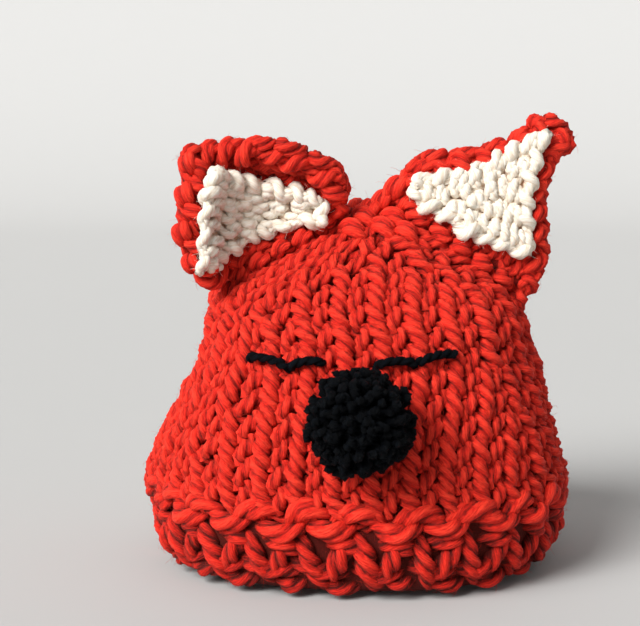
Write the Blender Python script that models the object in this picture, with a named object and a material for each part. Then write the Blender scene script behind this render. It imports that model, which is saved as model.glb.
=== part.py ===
"""A knitted tea cosy with an animal's face, standing on its garter-stitch hem.

Two knitted panels make the cosy: each is a shell with a rib for every column of
stitches, a bumpy garter band at its foot and a ridge at its top where the panels
are gathered. Their side edges bow apart into a slit for the spout on the left and
one for the handle on the right. Two cupped ears with cream inner ears sit on the
shoulders, and the face is two stitched eyes and a pompom nose.

Metres, +Z up. -Y is the front. The tables are in millimetres.
"""

import math

import bmesh
import bpy
import numpy as np
from mathutils import Vector

MM = 0.001

# Where the middle of the hem stands, so that the whole cosy is centred on the origin.
BODY_X = -0.5
BODY_Y = 13.4

# The outline of the cosy, from the floor to the gathered top, in millimetres.
# height, half width, half depth, shift to the right
PROFILE = np.array([
    (0, 77.5, 71.5, -1.0),
    (8, 82.0, 75.5, -1.0),
    (20, 85.5, 79.0, -0.5),
    (30, 86.5, 80.0, 0.0),
    (37, 85.0, 78.5, -0.5),
    (50, 82.5, 77.5, -1.5),
    (62, 78.5, 75.0, -1.5),
    (76, 72.5, 70.5, 0.0),
    (90, 67.0, 65.0, 1.0),
    (104, 64.0, 59.0, 2.0),
    (112, 61.0, 53.5, 2.0),
    (120, 53.5, 46.0, 3.5),
    (128, 43.0, 37.5, 5.0),
    (136, 31.5, 28.5, 6.5),
    (143, 20.5, 18.0, 8.0),
    (148, 11.5, 8.0, 9.0),
    (150, 7.5, 0.0, 9.0),
])
HEIGHT = PROFILE[-1, 0]
BAND = 36.0  # height of the garter band at the hem
CORNER = 2.3  # exponent of the oval seen from above: 2 is an ellipse, more is squarer
SWELL = 4.0  # how far the hem bulges forward, right of its middle
SWELL_X, SWELL_WIDTH, SWELL_HEIGHT = 30.0, 38.0, 26.0

# Knitting
WALL = 8.0  # thickness of the knitted cloth without its relief
COLUMNS = 18  # columns of stitches across one panel
BAND_STITCHES = 13  # stitches across one panel's band, in thicker yarn
STITCH_WIDTH = 14.8  # a column at the front of the face, where it keeps its full width
RIB = 2.6  # how far a column of stitches stands out
RIDGE = 3.0  # how far a ridge of the garter band stands out
RIDGES = 3  # ridges up the band
RIB_START = 5.0  # height over which the band's bumps give way to the ribs
TOP_FADE = 16.0  # and over which the ribs die out at the gathered top
SEAM_FADE = 0.03  # share of the panel over which they die out at the side seams
NARROWEST = 3.0  # half width of the hollow under the gathered top
PANEL_LEVELS = 19  # rows of points from the band to the top, outside
INNER_LEVELS = 14  # rows of points from the floor to the top, inside
SEAM = 0.3  # gap between the two panels where they are sewn
CLEAR = 0.3  # gap between a sewn-on piece and what it lies on
SEAT = RIB + CLEAR + 0.5  # where a sewn-on piece lies over the panel, clear of every rib

# Slits where the panels' side edges part: from, to and full width in millimetres.
SPOUT_SLIT = (44.0, 108.0, 22.0)
HANDLE_SLIT = (38.0, 122.0, 18.0)

# The ears' outlines, from the inner end of the base over the tip to the outer end:
# x, y and z in millimetres from the middle of the hem.
EAR_LEFT = dict(
    base=[(-6.0, -14.0), (-57.0, -13.0)],  # ends of the seam that sews it on, in plan
    outline=[
        (-5.5, -24.0, 159.0),
        (-12.0, -28.0, 167.0),
        (-34.0, -31.0, 176.5),
        (-57.0, -25.0, 177.0),
        (-73.0, -20.0, 173.0),
        (-76.5, -22.0, 158.0),
        (-76.0, -26.0, 143.0),
        (-75.5, -26.0, 130.0),
        (-69.5, -22.0, 119.5),
    ],
    bow=8.0,  # how far the middle of that seam lies in front of its ends
    cup=9.0,  # how far the ear is hollowed
    inner_across=(0.10, 0.87),
    inner_up=(0.12, 0.80),
)
EAR_RIGHT = dict(
    base=[(15.0, -12.0), (64.0, -16.0)],
    outline=[
        (18.5, -14.0, 161.0),
        (29.0, -15.0, 171.0),
        (48.0, -16.0, 173.5),
        (63.5, -15.0, 183.5),
        (77.0, -14.0, 187.0),
        (89.5, -14.0, 181.0),
        (83.0, -16.0, 166.0),
        (77.5, -18.0, 151.0),
        (78.5, -18.0, 134.0),
        (74.5, -17.0, 119.0),
    ],
    bow=9.0,
    cup=6.0,
    inner_across=(0.13, 0.80),
    inner_up=(0.16, 0.84),
)
EAR_WALL = 8.0
INNER_EAR_WALL = 4.4

# Eyes: places on the face, x and height in millimetres, two back stitches each.
EYE_LEFT = [(-44.4, 93.4), (-37.0, 94.3), (-28.5, 91.0), (-22.0, 92.8), (-14.8, 93.3)]
EYE_RIGHT = [(4.9, 92.0), (11.5, 93.4), (20.2, 92.5), (27.0, 94.1), (35.3, 95.5)]
EYE_YARN = 3.4  # diameter
EYE_SEAT = RIB + 0.1  # the eyes lie on the ribs' crests

# Nose
NOSE_AT = (-1.8, 73.6)  # x and height of its middle
NOSE_RADIUS = 21.5  # over the tufts
NOSE_CORE = 15.5
NOSE_FLAT = 15.0  # from its middle to the knitting, which flattens its back
NOSE_TUFTS = 5  # tufts along each edge of a cube blown up to a ball
TUFT_GAP = 0.15  # between the roots of two tufts, to each side
TUFT_FLARE = 1.0  # width of a tuft's end over its root's
TUFT_TURN = 2.4  # angle that makes neighbouring tufts uneven
TUFTS_END = 0.55  # how far back on the ball the tufts go, as a share of its radius

RED = (0.75, 0.045, 0.022, 1.0)
CREAM = (0.84, 0.79, 0.69, 1.0)
BLACK = (0.006, 0.006, 0.009, 1.0)


def smooth_rows(rows, at, key=0):
    """A smooth curve through the table's rows, read at the values of one column."""
    at = np.asarray(at, float)
    x = rows[:, key]
    slopes = np.gradient(rows, x, axis=0)
    i = np.clip(np.searchsorted(x, at, side="right") - 1, 0, len(x) - 2)
    span = (x[i + 1] - x[i])[..., None]
    t = (at - x[i])[..., None] / span
    start, end = rows[i], rows[i + 1]
    return (
        (2 * t**3 - 3 * t**2 + 1) * start
        + (t**3 - 2 * t**2 + t) * span * slopes[i]
        + (3 * t**2 - 2 * t**3) * end
        + (t**3 - t**2) * span * slopes[i + 1]
    )


def slit_gap(z, slit):
    """Half the opening of a slit at height z: a long almond between its two ends."""
    low, high, width = slit
    t = np.clip((z - low) / (high - low), 0, 1)
    return SEAM / 2 + width / 2 * np.sin(np.pi * t) ** 0.8


def section(phi, z, inset=0.0):
    """A point of the front panel: phi runs from -90 degrees at the left seam to 90."""
    phi, z = np.broadcast_arrays(np.asarray(phi, float), np.asarray(z, float))
    row = smooth_rows(PROFILE, z)
    half_width = np.maximum(row[..., 1] - inset, NARROWEST)
    half_depth = np.maximum(row[..., 2] - inset, 0.0)
    gap = np.where(phi < 0, slit_gap(z, SPOUT_SLIT), slit_gap(z, HANDLE_SLIT))
    gap = np.minimum(gap, half_depth + SEAM / 2)
    power = 2 / CORNER
    across = np.sign(phi) * np.abs(np.sin(phi)) ** power
    forward = np.clip(np.cos(phi), 0, 1)
    x = row[..., 3] + half_width * across
    y = -(gap + np.maximum(half_depth - gap, 0) * forward**power)
    swell = np.exp(-(((x - SWELL_X) / SWELL_WIDTH) ** 2) - (z / SWELL_HEIGHT) ** 2)
    return np.stack([x, y - SWELL * swell * forward, z], -1)


def girth_table(levels=61, steps=181):
    """Heights, angles, the share of the half girth run up to each angle, and the half girths."""
    z = np.linspace(0, HEIGHT, levels)
    phi = np.linspace(-np.pi / 2, np.pi / 2, steps)
    points = section(phi[None, :], z[:, None])
    run = np.linalg.norm(np.diff(points, axis=1), axis=2).cumsum(1)
    girth = run[:, -1]
    share = np.column_stack([np.zeros(levels), run / girth[:, None]])
    return z, phi, share, girth


HEIGHTS, ANGLES, SHARE, GIRTH = girth_table()
LEVELS = smooth_rows(PROFILE, np.linspace(60.0, HEIGHT, 361))  # the profile above the face


def angle_at(across, z):
    """The angle that lies this far across the panel at height z, -1 to 1, by arc length."""
    wanted = (across + 1) / 2
    row = int(np.clip(np.searchsorted(HEIGHTS, z) - 1, 0, len(HEIGHTS) - 2))
    t = (z - HEIGHTS[row]) / (HEIGHTS[row + 1] - HEIGHTS[row])
    low = np.interp(wanted, SHARE[row], ANGLES)
    high = np.interp(wanted, SHARE[row + 1], ANGLES)
    return low + (high - low) * t


def column_place(column, z):
    """How far across the panel a column lies at height z; both run from -1 to 1.

    The columns at the front keep their width where the cosy narrows, and those at
    the sides are squeezed instead.
    """
    width = np.interp(z, HEIGHTS, GIRTH) / COLUMNS
    spread = np.clip(STITCH_WIDTH / width - 1, 0, 0.5)
    return column * (1 + spread * (1 - np.abs(column)))


def panel_row(columns, z, out):
    """The points of one row of the front panel at height z, pushed out along its normals."""
    def row_at(level):
        return section(angle_at(column_place(columns, level), level), level)

    points = row_at(z)
    across = np.gradient(points, axis=0)
    up = row_at(min(z + 0.5, HEIGHT)) - row_at(max(z - 0.5, 0.0))
    normals = np.cross(across, up)
    normals = normals / np.linalg.norm(normals, axis=1)[:, None]
    return points + normals * out[:, None]


def relief(columns, z):
    """How far the knitting stands out: garter bumps on the band, ribs above it."""
    bumps = np.cos(np.pi * (columns + 1) * BAND_STITCHES)
    ridge = 0.5 - 0.5 * math.cos(2 * math.pi * RIDGES * min(z / BAND, 1.0))
    garter = RIDGE * ridge * (0.7 + 0.3 * bumps)
    rib = RIB * np.abs(np.sin(np.pi * (columns + 1) / 2 * COLUMNS)) ** 0.6
    above = min(max((z - BAND) / RIB_START, 0.0), 1.0)
    gathered = min((HEIGHT - z) / TOP_FADE, 1.0)
    at_seam = np.clip((1 - np.abs(columns)) / SEAM_FADE, 0, 1)
    return (garter * (1 - above) + rib * above) * gathered * at_seam


def material(name, colour, roughness):
    """A plain wool material."""
    made = bpy.data.materials.new(name)
    made.use_nodes = True
    shader = made.node_tree.nodes["Principled BSDF"]
    shader.inputs["Base Color"].default_value = colour
    shader.inputs["Roughness"].default_value = roughness
    shader.inputs["Metallic"].default_value = 0.0
    made.diffuse_color = colour
    return made


def new_object(name, bm, finish, parent):
    """A smooth-shaded object from a bmesh in millimetres, hung from the parent."""
    bmesh.ops.scale(bm, vec=(MM, MM, MM), verts=bm.verts)
    bmesh.ops.recalc_face_normals(bm, faces=bm.faces)
    if bm.calc_volume(signed=True) < 0:
        bmesh.ops.reverse_faces(bm, faces=bm.faces)
    mesh = bpy.data.meshes.new(name)
    bm.to_mesh(mesh)
    bm.free()
    mesh.shade_smooth()
    mesh.set_sharp_from_angle(angle=math.radians(50))
    mesh.materials.append(finish)
    obj = bpy.data.objects.new(name, mesh)
    bpy.context.collection.objects.link(obj)
    obj.parent = parent
    return obj


def grid_faces(bm, rows):
    """Quads between the neighbouring rows of a grid of vertices."""
    for low, high in zip(rows, rows[1:]):
        for i in range(len(low) - 1):
            bm.faces.new((low[i], low[i + 1], high[i + 1], high[i]))


def zip_faces(bm, one, other):
    """Triangles between two lines of vertices, always across the shorter diagonal."""
    i = j = 0
    while i < len(one) - 1 or j < len(other) - 1:
        if j == len(other) - 1:
            along_one = True
        elif i == len(one) - 1:
            along_one = False
        else:
            step_one = (one[i + 1].co - other[j].co).length
            step_other = (other[j + 1].co - one[i].co).length
            along_one = step_one <= step_other
        if along_one:
            bm.faces.new((one[i], one[i + 1], other[j]))
            i += 1
        else:
            bm.faces.new((one[i], other[j + 1], other[j]))
            j += 1


def shell(bm, outer, inner):
    """Closes two grids of vertices into one body, with a strip along each of their four edges."""
    grid_faces(bm, outer)
    grid_faces(bm, inner)
    zip_faces(bm, outer[0], inner[0])
    zip_faces(bm, outer[-1], inner[-1])
    zip_faces(bm, [row[0] for row in outer], [row[0] for row in inner])
    zip_faces(bm, [row[-1] for row in outer], [row[-1] for row in inner])


def knitted_panel(name, finish, parent, back):
    """One panel: ribbed outside, plain inside, flat on the floor, open at the slits."""
    side = np.array([1.0, -1.0 if back else 1.0, 1.0])
    band_levels = np.linspace(0, BAND, 4 * RIDGES + 1)
    rise = 1 - np.linspace(1, 0, PANEL_LEVELS) ** 1.35  # closer together near the top
    levels = [*band_levels, *(BAND + (HEIGHT - BAND) * rise[1:])]
    columns = np.linspace(-1, 1, 3 * COLUMNS + 1)
    bm = bmesh.new()
    outer, inner = [], []
    for z in levels:
        points = panel_row(columns, z, relief(columns, z))
        points[:, 1] = np.minimum(points[:, 1], -SEAM / 2)
        if z in (0.0, HEIGHT):
            points[:, 2] = z
        outer.append([bm.verts.new(point * side) for point in points])
    for z in np.linspace(0, HEIGHT, INNER_LEVELS):
        points = section(angle_at(np.linspace(-1, 1, COLUMNS + 1), z), z, WALL)
        points[:, 1] = np.minimum(points[:, 1], -SEAM / 2)
        points[:, 2] -= WALL * (z / HEIGHT) ** 2
        inner.append([bm.verts.new(point * side) for point in points])
    shell(bm, outer, inner)
    return new_object(name, bm, finish, parent)


def shoulder_point(x, y, out):
    """A point on top of the cosy over the place x, y on the plan, pushed out along its normal."""

    def height(x_, y_):
        share = np.abs((x_ - LEVELS[:, 3]) / LEVELS[:, 1]) ** CORNER
        share = share + np.abs(y_ / (LEVELS[:, 2] + SEAM)) ** CORNER
        return np.interp(1.0, share, LEVELS[:, 0])

    step = 0.5
    slope_x = (height(x + step, y) - height(x - step, y)) / (2 * step)
    slope_y = (height(x, y + step) - height(x, y - step)) / (2 * step)
    normal = np.array([-slope_x, -slope_y, 1.0])
    return np.array([x, y, height(x, y)]) + normal / np.linalg.norm(normal) * out


def ear_surface(ear, p, q, out):
    """A point of an ear: p runs along its base and its outline, q from base to outline.

    out is the distance in front of the ear's middle. The foot of every such surface
    lies on the ribs of the panel under it.
    """
    inner_end, outer_end = np.array(ear["base"])
    ends = [shoulder_point(x, y, SEAT) for x, y in (inner_end, outer_end)]
    outline = np.array([ends[0], *ear["outline"], ends[1]])
    outline = np.column_stack([np.linspace(0, 1, len(outline)), outline])
    x, y = inner_end + (outer_end - inner_end) * p
    hump = math.sin(math.pi * p)
    foot = shoulder_point(x, y - ear["bow"] * hump - out, SEAT)
    rim = smooth_rows(outline, p)[1:] - np.array([0, out, 0])
    point = foot + (rim - foot) * q
    point[1] += ear["cup"] * hump * math.sin(math.pi * q) ** 0.8
    return point


def ear_sheet(name, ear, finish, parent, across, upward, out, wall, counts):
    """A thick sheet on an ear's surface between two shares along it and two shares up it."""
    bm = bmesh.new()
    sides = []
    for face in (out + wall / 2, out - wall / 2):
        rows = []
        for q in np.linspace(*upward, counts[1] + 1):
            places = np.linspace(*across, counts[0] + 1)
            rows.append([bm.verts.new(ear_surface(ear, p, q, face)) for p in places])
        sides.append(rows)
    shell(bm, *sides)
    return new_object(name, bm, finish, parent)


def face_point(x, z, out):
    """A point in front of the face at sideways place x and height z, along its normal."""
    row = smooth_rows(PROFILE, z)
    share = min(abs(x - row[3]) / row[1], 1.0) ** (CORNER / 2)
    phi = math.copysign(math.asin(share), x - row[3])
    step = 0.02
    across = section(phi + step, z) - section(phi - step, z)
    up = section(phi, z + 1.0) - section(phi, z - 1.0)
    normal = np.cross(across, up)
    return section(phi, z) + normal / np.linalg.norm(normal) * out


def eye(name, places, finish, parent):
    """An eye: a tube of yarn along the points of its stitches."""
    table = np.array([(i, x, z) for i, (x, z) in enumerate(places)], float)
    run = np.linspace(0, len(places) - 1, 4 * (len(places) - 1) + 1)
    curve = bpy.data.curves.new(name, "CURVE")
    curve.dimensions = "3D"
    curve.bevel_depth = EYE_YARN / 2 * MM
    curve.bevel_resolution = 2
    curve.use_fill_caps = True
    spline = curve.splines.new("POLY")
    spline.points.add(len(run) - 1)
    for point, (_, x, z) in zip(spline.points, smooth_rows(table, run)):
        point.co = (*(face_point(x, z, EYE_SEAT + EYE_YARN / 2) * MM), 1.0)
    curve.materials.append(finish)
    obj = bpy.data.objects.new(name, curve)
    bpy.context.collection.objects.link(obj)
    obj.parent = parent
    return obj


def pompom(name, finish, parent):
    """The nose: a ball whose faces are drawn out into tufts, flattened where it is tied on."""
    x, z = NOSE_AT
    bm = bmesh.new()
    bmesh.ops.create_cube(bm, size=2.0)
    bmesh.ops.subdivide_edges(bm, edges=bm.edges, cuts=NOSE_TUFTS - 1, use_grid_fill=True)
    for vert in bm.verts:
        vert.co = Vector([math.tan(v * math.pi / 4) for v in vert.co]).normalized() * NOSE_CORE
    for number, quad in enumerate(list(bm.faces)):
        middle = quad.calc_center_median().normalized()
        if middle.y > TUFTS_END:
            continue
        length = (NOSE_RADIUS - NOSE_CORE) * (0.85 + 0.15 * math.sin(TUFT_TURN * number))
        bmesh.ops.inset_individual(bm, faces=[quad], thickness=TUFT_GAP)
        tuft = bmesh.ops.extrude_discrete_faces(bm, faces=[quad])["faces"][0]
        root = tuft.calc_center_median()
        for vert in tuft.verts:
            vert.co = root + (vert.co - root) * TUFT_FLARE + middle * length
    bmesh.ops.translate(bm, vec=(x, face_point(x, z, SEAT)[1] - NOSE_FLAT, z), verts=bm.verts)
    for vert in bm.verts:
        vert.co.y = min(vert.co.y, face_point(vert.co.x, vert.co.z, SEAT)[1])
    return new_object(name, bm, finish, parent)


def main():
    for old in list(bpy.data.objects):
        bpy.data.objects.remove(old, do_unlink=True)
    middle = bpy.data.objects.new("middle_of_hem", None)
    middle.location = (BODY_X * MM, BODY_Y * MM, 0.0)
    bpy.context.collection.objects.link(middle)

    red_wool = material("red_wool", RED, 0.9)
    cream_wool = material("cream_wool", CREAM, 0.9)
    black_wool = material("black_wool", BLACK, 0.85)

    knitted_panel("front_panel", red_wool, middle, back=False)
    knitted_panel("back_panel", red_wool, middle, back=True)
    in_front = (EAR_WALL + INNER_EAR_WALL) / 2 + CLEAR
    for side, ear in (("left", EAR_LEFT), ("right", EAR_RIGHT)):
        ear_sheet(f"ear_{side}", ear, red_wool, middle, (0, 1), (0, 1), 0.0, EAR_WALL, (22, 9))
        ear_sheet(f"inner_ear_{side}", ear, cream_wool, middle, ear["inner_across"],
                  ear["inner_up"], in_front, INNER_EAR_WALL, (14, 7))
    eye("eye_left", EYE_LEFT, black_wool, middle)
    eye("eye_right", EYE_RIGHT, black_wool, middle)
    pompom("nose_pompom", black_wool, middle)


main()
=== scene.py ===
# %% [markdown]
# # A knitted tea cosy with a sleepy face
#
# The cosy is two panels of very thick red yarn, sewn at the sides and gathered at the
# top, with two ears, two stitched eyes and a pompom for a nose. Everything here is in
# millimetres, measured from the middle of the hem on the floor, until a mesh is made.

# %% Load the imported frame
import math
import bpy
import numpy as np
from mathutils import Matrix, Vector


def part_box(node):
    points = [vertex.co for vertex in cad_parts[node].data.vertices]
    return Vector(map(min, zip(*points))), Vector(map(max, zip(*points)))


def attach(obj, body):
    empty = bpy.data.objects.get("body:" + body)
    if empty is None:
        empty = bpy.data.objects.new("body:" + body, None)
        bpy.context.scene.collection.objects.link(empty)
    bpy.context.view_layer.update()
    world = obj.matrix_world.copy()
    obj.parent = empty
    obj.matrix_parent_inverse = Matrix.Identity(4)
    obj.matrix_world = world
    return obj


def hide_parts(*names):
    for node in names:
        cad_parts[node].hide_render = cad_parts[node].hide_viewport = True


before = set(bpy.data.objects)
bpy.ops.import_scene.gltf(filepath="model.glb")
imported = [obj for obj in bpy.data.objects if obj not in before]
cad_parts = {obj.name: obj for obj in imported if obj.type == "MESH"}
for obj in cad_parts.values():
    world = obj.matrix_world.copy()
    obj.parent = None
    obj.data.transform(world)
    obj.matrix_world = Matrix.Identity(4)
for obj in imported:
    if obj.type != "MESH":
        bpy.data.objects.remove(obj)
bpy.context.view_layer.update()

MM = 0.001
front_box, back_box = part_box("front_panel"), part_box("back_panel")
HEM = np.array([
    (front_box[0].x + front_box[1].x) / 2,
    (front_box[1].y + back_box[0].y) / 2,
    0.0,
])
print("middle of the hem, in mm:", HEM / MM)

# %% [markdown]
# ## The shape that the knitting lies on
#
# The cosy stands as round as it does in use and narrows to its gathered top. Any point
# of a panel is found from two numbers: how far across the panel it is, from one side
# seam to the other, and how high. The outline is a few rows read by a smooth curve, and
# each level is an oval with slightly square corners, so the whole panel is one grid.

# %% The outline and the ovals
# height, half width, half depth, shift to the right
PROFILE = np.array([
    (0, 77.5, 71.5, -1.0),
    (8, 82.0, 75.5, -1.0),
    (20, 85.5, 79.0, -0.5),
    (30, 86.5, 80.0, 0.0),
    (37, 85.0, 78.5, -0.5),
    (50, 82.5, 77.5, -1.5),
    (62, 78.5, 75.0, -1.5),
    (76, 72.5, 70.5, 0.0),
    (90, 67.0, 65.0, 1.0),
    (104, 64.0, 59.0, 2.0),
    (112, 61.0, 53.5, 2.0),
    (120, 53.5, 46.0, 3.5),
    (128, 43.0, 37.5, 5.0),
    (136, 31.5, 28.5, 6.5),
    (143, 20.5, 18.0, 8.0),
    (148, 11.5, 8.0, 9.0),
    (150, 7.5, 0.0, 9.0),
])
HEIGHT = 150.0
BAND = 36.0  # height of the garter band at the hem
CORNER = 2.3  # exponent of the oval: 2 is an ellipse, more is squarer
# the hem swells at the front: how far, where sideways, how wide and how high
SWELL, SWELL_X, SWELL_WIDTH, SWELL_HEIGHT = 4.0, 30.0, 38.0, 26.0
SEAM = 0.3  # gap between the panels at the side seams
SLIT_LEFT = (44.0, 108.0, 22.0)  # a slit in the seam, from one height to another, and its width
SLIT_RIGHT = (38.0, 122.0, 18.0)
SEAT = 3.4  # how far over the panel a sewn-on piece lies
RNG = np.random.default_rng(11)  # seeded, so that every run knits the same stitches
print(f"hem {2 * PROFILE[0, 1]:.0f} mm wide, widest place {2 * PROFILE[:, 1].max():.0f} mm")


def smooth_rows(rows, at, key=0):
    """A smooth curve through the rows: cubic pieces that keep each row's slope."""
    at = np.asarray(at, float)
    x = rows[:, key]
    slopes = np.gradient(rows, x, axis=0)
    i = np.clip(np.searchsorted(x, at, side="right") - 1, 0, len(x) - 2)
    span = (x[i + 1] - x[i])[..., None]
    t = (at - x[i])[..., None] / span
    return (
        (2 * t**3 - 3 * t**2 + 1) * rows[i]
        + (t**3 - 2 * t**2 + t) * span * slopes[i]
        + (3 * t**2 - 2 * t**3) * rows[i + 1]
        + (t**3 - t**2) * span * slopes[i + 1]
    )


def section(phi, z):
    """A point of the front panel at angle phi (-90 to 90 degrees) and height z.

    x = shift + half width * sin(phi)^p and y = -(gap + depth * cos(phi)^p), with
    p = 2 / CORNER, where gap is half the opening of the slit at that height.
    """
    phi, z = np.broadcast_arrays(np.asarray(phi, float), np.asarray(z, float))
    row = smooth_rows(PROFILE, z)
    depth = np.maximum(row[..., 2], 0.0)

    def half_gap(slit):
        t = np.clip((z - slit[0]) / (slit[1] - slit[0]), 0, 1)
        return SEAM / 2 + slit[2] / 2 * np.sin(np.pi * t) ** 0.8

    gap = np.minimum(np.where(phi < 0, half_gap(SLIT_LEFT), half_gap(SLIT_RIGHT)),
                     depth + SEAM / 2)
    power = 2 / CORNER
    forward = np.clip(np.cos(phi), 0, 1)
    x = row[..., 3] + row[..., 1] * np.sign(phi) * np.abs(np.sin(phi)) ** power
    y = -(gap + np.maximum(depth - gap, 0) * forward**power)
    swell = np.exp(-(((x - SWELL_X) / SWELL_WIDTH) ** 2) - (z / SWELL_HEIGHT) ** 2)
    return np.stack([x, y - SWELL * swell * forward, z], -1)


# %% The panel as a grid of points and normals
LEVELS = np.linspace(0, HEIGHT, 151)
PLACES = np.linspace(-1, 1, 241)  # share of the way across, by length along the cloth
MIDDLE = len(PLACES) // 2


def unit(vectors, least=0.0):
    """The vectors at length 1; least keeps one of no length from a division by zero."""
    return vectors / (np.linalg.norm(vectors, axis=-1, keepdims=True) + least)


def distances(line):
    """How far along a line of points each point lies: the sum of the steps before it."""
    return np.concatenate([[0], np.linalg.norm(np.diff(line, axis=0), axis=1).cumsum()])


def normals_of(points):
    """The unit normals of a grid of points, from its slopes along rows and columns."""
    return unit(np.cross(np.gradient(points, axis=1), np.gradient(points, axis=0)))


def panel_grid():
    """Points, normals and half girths of the front panel, evenly spaced across each level."""
    phi = np.linspace(-np.pi / 2, np.pi / 2, 721)
    fine = section(phi[None, :], LEVELS[:, None])
    run = np.linalg.norm(np.diff(fine, axis=1), axis=2).cumsum(1)
    run = np.column_stack([np.zeros(len(LEVELS)), run])
    angles = np.array([np.interp((PLACES + 1) / 2 * r[-1], r, phi) for r in run])
    points = section(angles, LEVELS[:, None])
    return points, normals_of(points), run[:, -1]


POINTS, NORMALS, GIRTH = panel_grid()
# how far the cloth beside a seam stands out, or in if negative: side, height, spread, how far
PULLS = ((-1, 34.0, 9.0, 3.6), (-1, 73.0, 23.0, -4.8), (1, 82.0, 14.0, 3.2))
PULL_WIDTH = 0.16  # how far from the seam it reaches, as share of half a panel
for side, at, spread, far in PULLS:
    beside = np.exp(-(((PLACES - side) / PULL_WIDTH) ** 2))
    near = np.exp(-(((LEVELS - at) / spread) ** 2))[:, None]
    POINTS += NORMALS * (far * beside * near)[..., None]
MERIDIAN = distances(POINTS[:, MIDDLE])  # length along the cloth from the hem to each level
print(f"cloth from hem to top {MERIDIAN[-1]:.0f} mm")
print(f"half girth {GIRTH[0]:.0f} to {GIRTH[-1]:.0f} mm")


def read_grid(grid, row, column):
    """The grid's value between its four nearest points, at fractional rows and columns."""
    row = np.clip(row, 0, grid.shape[0] - 1.001)
    column = np.clip(column, 0, grid.shape[1] - 1.001)
    i, j = row.astype(int), column.astype(int)
    s, t = (row - i)[..., None], (column - j)[..., None]
    return (
        grid[i, j] * (1 - s) * (1 - t)
        + grid[i + 1, j] * s * (1 - t)
        + grid[i, j + 1] * (1 - s) * t
        + grid[i + 1, j + 1] * s * t
    )


def on_panel(run, up, out):
    """Points and normals of the front panel: run mm from its middle, up mm along the cloth."""
    level = np.interp(up, MERIDIAN, LEVELS)
    place = run / (np.interp(level, LEVELS, GIRTH) / 2)
    column = (place + 1) / 2 * (len(PLACES) - 1)
    point, normal = read_grid(POINTS, level, column), unit(read_grid(NORMALS, level, column))
    return point + normal * np.asarray(out)[..., None], normal


def on_back(run, up, out):
    """The same for the back panel, which mirrors the front one."""
    point, normal = on_panel(run, up, out)
    return point * (1, -1, 1), normal * (1, -1, 1)


def up_at(z):
    """The length up the cloth at which it reaches height z."""
    return np.interp(z, LEVELS, MERIDIAN)


def cloth_at(x, z):
    """How far across the front panel, and how far up it, its point at sideways x, height z lies."""
    rows = np.clip(np.round(z).astype(int), 0, len(LEVELS) - 1)  # the levels are 1 mm apart
    run = [np.interp(a, POINTS[r, :, 0], PLACES) * GIRTH[r] / 2 for a, r in zip(x, rows)]
    return np.array(run), up_at(z)


# %% [markdown]
# ## Plied yarn
#
# The yarn is three plies, twisted round each other, about 7 mm thick. A plain tube would
# hide that. Here the tube's own rings turn along the path, so each mesh line stays on
# one ply, and the grooves between the plies wind round the yarn.

# %% A strand of plied yarn along any path
# how far out each point of a ring lies: a deep groove and a round back, for each ply
THICK_PLY = np.tile([0.66, 0.86, 0.98, 1.02, 0.98, 0.86], 3)
THIN_PLY = np.tile([0.84, 1.0, 0.96, 1.0], 3)
PITCH = 2.8  # length of one turn of the plies, in diameters of the yarn
PLUMP = 0.09  # how unevenly thick a ply is, as share of the radius
# the yarn's shade is painted into its colour; GROOVE scales it between the plies
GROOVE = 0.55  # a groove this share of the radius deep is darkest
# the painted shade grows by FLANK for each radius of depth, from FLANK_FROM on, for FLANK_MOST more
FLANK, FLANK_FROM, FLANK_MOST = 0.58, 0.45, 1.8
print(f"points in a ring: thick yarn {len(THICK_PLY)}, thin yarn {len(THIN_PLY)}")


def uneven(t, size, spacing=1.0):
    """A gently changing random value along t: one random number each spacing, eased between."""
    t = np.asarray(t) / spacing
    numbers = RNG.uniform(-size, size, int(np.ceil(t.max())) + 3)
    i = np.floor(t).astype(int)
    ease = 0.5 - 0.5 * np.cos(np.pi * (t - i))
    return numbers[i] * (1 - ease) + numbers[i + 1] * ease


def yarn(path, outward, radius, ply=THICK_PLY, pitch=PITCH, blunt=1.0, sunk=None, both=False):
    """Rings of points round a path, one ring a row, with the length along it and the shade.

    ring = path + radius * ply_k * (cos a_k * outward + sin a_k * side), with
    a_k = 2 pi k / sides + 2 pi * length / turn, so the rings turn as the plies do.
    The ends are rounded over blunt times the radius. The shade, which is painted on, is 0 on
    the plies and grows towards 1 in the dips between them. With sunk, how deep each path
    point lies under the outermost yarn, it grows on the flanks and in the depths of the
    knitting too, or only between the strands where both faces of the knitting show.
    """
    radius = np.broadcast_to(radius, len(path)).astype(float)
    tangent = unit(np.gradient(path, axis=0))
    side = unit(np.cross(outward, tangent))
    outward = np.cross(tangent, side)
    length = distances(path)
    sides = len(ply)
    turn = 2 * pitch * np.median(radius)
    parts = 3 if sides % 3 == 0 else 1
    a = 2 * np.pi * np.arange(sides)[None] / sides + (2 * np.pi * length / turn)[:, None]
    a = a + RNG.uniform(0, 2 * np.pi)
    plump = np.stack([uneven(length, PLUMP, 7.0) for _ in range(parts)], 1)
    plump = np.repeat(plump, sides // parts, axis=1) * (ply > 0.9)
    reach = radius[:, None] * (ply[None] + plump)
    near_end = np.minimum(length, length[-1] - length) / np.maximum(radius * blunt, 0.1)
    near_end = np.clip(near_end, 0, 1)
    reach = reach * np.sqrt(np.maximum(1 - (1 - near_end) ** 2, 0.01))[:, None]
    ring = (path[:, None] + reach[..., None]
            * (np.cos(a)[..., None] * outward[:, None] + np.sin(a)[..., None] * side[:, None]))
    shade = np.tile(np.clip(1 - ply, 0, 1) / GROOVE, (len(path), 1))
    if sunk is not None:
        facing = np.abs(np.cos(a)) if both else np.cos(a)
        depth = (sunk[:, None] * (not both) + radius[:, None] * (1 - facing)) / radius.max()
        shade = shade + FLANK * np.clip(depth - FLANK_FROM, 0, FLANK_MOST)
    return ring, length, shade


STRANDS = {}  # the strands of each piece, for the stray fibres that leave them


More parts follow.
